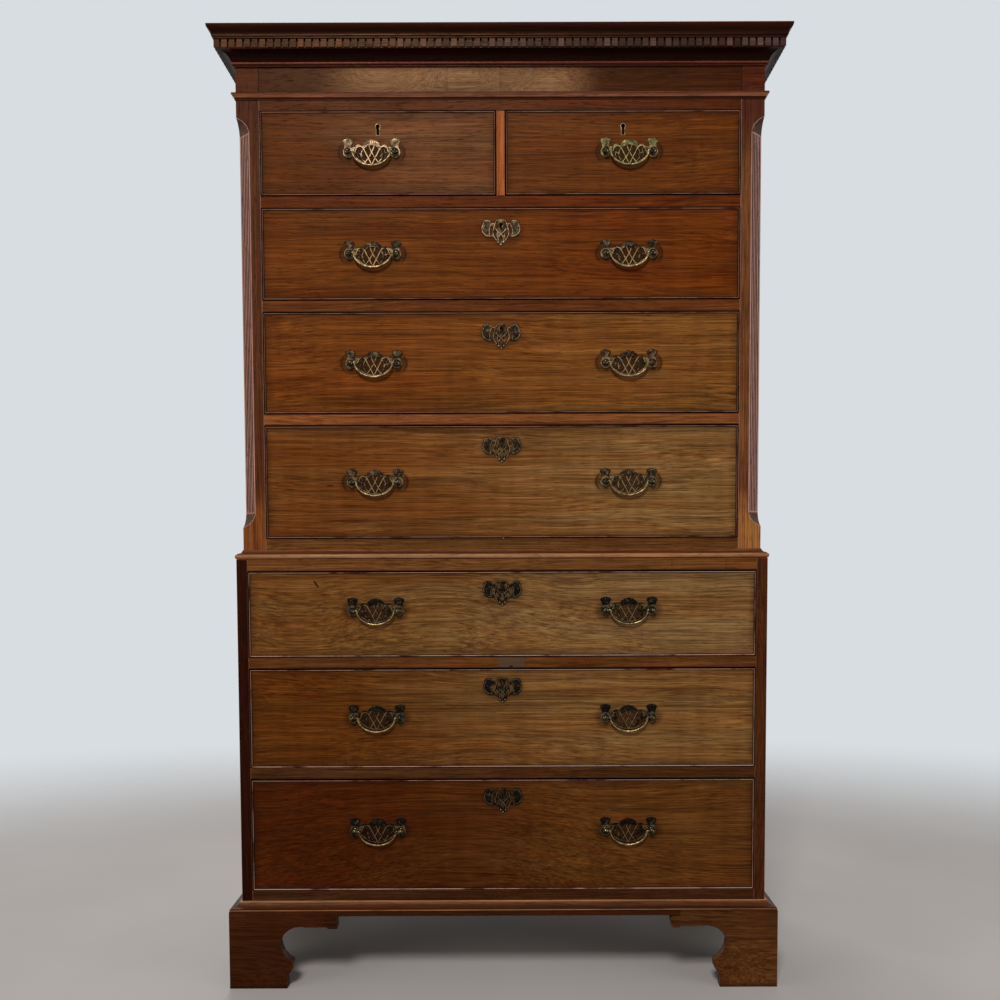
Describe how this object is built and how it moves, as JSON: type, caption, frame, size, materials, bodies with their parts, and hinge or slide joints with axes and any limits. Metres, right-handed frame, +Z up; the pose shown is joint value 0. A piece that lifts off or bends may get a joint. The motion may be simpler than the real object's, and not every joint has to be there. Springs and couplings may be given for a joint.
{
  "type": "chest on chest",
  "caption": "Tall mahogany chest of drawers in two stages, with dentil cornice, fluted canted corners, pierced brass handles and bracket feet.",
  "frame": {"origin": "on the floor, under the middle of the whole object", "axes": "+Z up, +X to the right seen from the front, -Y is the way the drawers open"},
  "size_m": [1.089, 0.56, 1.83],
  "materials": {
    "mahogany": "waxed and worn",
    "oak": "bare, aged",
    "brass": "aged, dull gold"
  },
  "bodies": {
    "carcase": {"backboards": "oak", "base_moulding": "mahogany", "bracket_foot_front_left": "mahogany", "bracket_foot_front_right": "mahogany", "bracket_foot_rear_left": "mahogany", "bracket_foot_rear_right": "mahogany", "cornice_moulding": "mahogany", "dentil_course": "mahogany", "frieze_and_astragal": "mahogany", "lower_drawer_rails": "mahogany", "lower_dustboards_and_runners": "oak", "lower_side_left": "mahogany", "lower_side_right": "mahogany", "lower_top_and_bottom_boards": "oak", "upper_corner_post_left": "mahogany", "upper_corner_post_right": "mahogany", "upper_drawer_rails": "mahogany", "upper_dustboards_and_runners": "oak", "upper_side_left": "mahogany", "upper_side_right": "mahogany", "upper_top_and_bottom_boards": "oak", "waist_moulding": "mahogany"},
    "short_drawer_left": {"short_drawer_left_front": "mahogany", "short_drawer_left_lining": "oak", "short_drawer_left_brass": "brass"},
    "short_drawer_left_bail": {"short_drawer_left_bail": "brass"},
    "short_drawer_right": {"short_drawer_right_front": "mahogany", "short_drawer_right_lining": "oak", "short_drawer_right_brass": "brass"},
    "short_drawer_right_bail": {"short_drawer_right_bail": "brass"},
    "upper_drawer_1": {"upper_drawer_1_front": "mahogany", "upper_drawer_1_lining": "oak", "upper_drawer_1_brass": "brass"},
    "upper_drawer_1_bail_left": {"upper_drawer_1_bail_left": "brass"},
    "upper_drawer_1_bail_right": {"upper_drawer_1_bail_right": "brass"},
    "upper_drawer_2": {"upper_drawer_2_front": "mahogany", "upper_drawer_2_lining": "oak", "upper_drawer_2_brass": "brass"},
    "upper_drawer_2_bail_left": {"upper_drawer_2_bail_left": "brass"},
    "upper_drawer_2_bail_right": {"upper_drawer_2_bail_right": "brass"},
    "upper_drawer_3": {"upper_drawer_3_front": "mahogany", "upper_drawer_3_lining": "oak", "upper_drawer_3_brass": "brass"},
    "upper_drawer_3_bail_left": {"upper_drawer_3_bail_left": "brass"},
    "upper_drawer_3_bail_right": {"upper_drawer_3_bail_right": "brass"},
    "lower_drawer_1": {"lower_drawer_1_front": "mahogany", "lower_drawer_1_lining": "oak", "lower_drawer_1_brass": "brass"},
    "lower_drawer_1_bail_left": {"lower_drawer_1_bail_left": "brass"},
    "lower_drawer_1_bail_right": {"lower_drawer_1_bail_right": "brass"},
    "lower_drawer_2": {"lower_drawer_2_front": "mahogany", "lower_drawer_2_lining": "oak", "lower_drawer_2_brass": "brass"},
    "lower_drawer_2_bail_left": {"lower_drawer_2_bail_left": "brass"},
    "lower_drawer_2_bail_right": {"lower_drawer_2_bail_right": "brass"},
    "lower_drawer_3": {"lower_drawer_3_front": "mahogany", "lower_drawer_3_lining": "oak", "lower_drawer_3_brass": "brass"},
    "lower_drawer_3_bail_left": {"lower_drawer_3_bail_left": "brass"},
    "lower_drawer_3_bail_right": {"lower_drawer_3_bail_right": "brass"}
  },
  "joints": [
    {"name": "short_drawer_left_slide", "type": "slide", "parent": "carcase", "child": "short_drawer_left", "axis": [0, -1, 0], "range_m": [0, 0.39]},
    {"name": "short_drawer_left_bail_hinge", "type": "hinge", "parent": "short_drawer_left", "child": "short_drawer_left_bail", "pos_m": [-0.245, -0.2465, 1.61025], "axis": [-1, 0, 0], "range_deg": [-9, 187]},
    {"name": "short_drawer_right_slide", "type": "slide", "parent": "carcase", "child": "short_drawer_right", "axis": [0, -1, 0], "range_m": [0, 0.39]},
    {"name": "short_drawer_right_bail_hinge", "type": "hinge", "parent": "short_drawer_right", "child": "short_drawer_right_bail", "pos_m": [0.245, -0.2465, 1.61025], "axis": [-1, 0, 0], "range_deg": [-9, 187]},
    {"name": "upper_drawer_1_slide", "type": "slide", "parent": "carcase", "child": "upper_drawer_1", "axis": [0, -1, 0], "range_m": [0, 0.39]},
    {"name": "upper_drawer_1_bail_left_hinge", "type": "hinge", "parent": "upper_drawer_1", "child": "upper_drawer_1_bail_left", "pos_m": [-0.245, -0.2465, 1.42025], "axis": [-1, 0, 0], "range_deg": [-9, 187]},
    {"name": "upper_drawer_1_bail_right_hinge", "type": "hinge", "parent": "upper_drawer_1", "child": "upper_drawer_1_bail_right", "pos_m": [0.245, -0.2465, 1.42025], "axis": [-1, 0, 0], "range_deg": [-9, 187]},
    {"name": "upper_drawer_2_slide", "type": "slide", "parent": "carcase", "child": "upper_drawer_2", "axis": [0, -1, 0], "range_m": [0, 0.39]},
    {"name": "upper_drawer_2_bail_left_hinge", "type": "hinge", "parent": "upper_drawer_2", "child": "upper_drawer_2_bail_left", "pos_m": [-0.245, -0.2465, 1.21325], "axis": [-1, 0, 0], "range_deg": [-9, 187]},
    {"name": "upper_drawer_2_bail_right_hinge", "type": "hinge", "parent": "upper_drawer_2", "child": "upper_drawer_2_bail_right", "pos_m": [0.245, -0.2465, 1.21325], "axis": [-1, 0, 0], "range_deg": [-9, 187]},
    {"name": "upper_drawer_3_slide", "type": "slide", "parent": "carcase", "child": "upper_drawer_3", "axis": [0, -1, 0], "range_m": [0, 0.39]},
    {"name": "upper_drawer_3_bail_left_hinge", "type": "hinge", "parent": "upper_drawer_3", "child": "upper_drawer_3_bail_left", "pos_m": [-0.245, -0.2465, 0.98625], "axis": [-1, 0, 0], "range_deg": [-9, 187]},
    {"name": "upper_drawer_3_bail_right_hinge", "type": "hinge", "parent": "upper_drawer_3", "child": "upper_drawer_3_bail_right", "pos_m": [0.245, -0.2465, 0.98625], "axis": [-1, 0, 0], "range_deg": [-9, 187]},
    {"name": "lower_drawer_1_slide", "type": "slide", "parent": "carcase", "child": "lower_drawer_1", "axis": [0, -1, 0], "range_m": [0, 0.4]},
    {"name": "lower_drawer_1_bail_left_hinge", "type": "hinge", "parent": "lower_drawer_1", "child": "lower_drawer_1_bail_left", "pos_m": [-0.245, -0.258, 0.73775], "axis": [-1, 0, 0], "range_deg": [-9, 187]},
    {"name": "lower_drawer_1_bail_right_hinge", "type": "hinge", "parent": "lower_drawer_1", "child": "lower_drawer_1_bail_right", "pos_m": [0.245, -0.258, 0.73775], "axis": [-1, 0, 0], "range_deg": [-9, 187]},
    {"name": "lower_drawer_2_slide", "type": "slide", "parent": "carcase", "child": "lower_drawer_2", "axis": [0, -1, 0], "range_m": [0, 0.4]},
    {"name": "lower_drawer_2_bail_left_hinge", "type": "hinge", "parent": "lower_drawer_2", "child": "lower_drawer_2_bail_left", "pos_m": [-0.245, -0.258, 0.52875], "axis": [-1, 0, 0], "range_deg": [-9, 187]},
    {"name": "lower_drawer_2_bail_right_hinge", "type": "hinge", "parent": "lower_drawer_2", "child": "lower_drawer_2_bail_right", "pos_m": [0.245, -0.258, 0.52875], "axis": [-1, 0, 0], "range_deg": [-9, 187]},
    {"name": "lower_drawer_3_slide", "type": "slide", "parent": "carcase", "child": "lower_drawer_3", "axis": [0, -1, 0], "range_m": [0, 0.4]},
    {"name": "lower_drawer_3_bail_left_hinge", "type": "hinge", "parent": "lower_drawer_3", "child": "lower_drawer_3_bail_left", "pos_m": [-0.245, -0.258, 0.30575], "axis": [-1, 0, 0], "range_deg": [-9, 187]},
    {"name": "lower_drawer_3_bail_right_hinge", "type": "hinge", "parent": "lower_drawer_3", "child": "lower_drawer_3_bail_right", "pos_m": [0.245, -0.258, 0.30575], "axis": [-1, 0, 0], "range_deg": [-9, 187]}
  ]
}
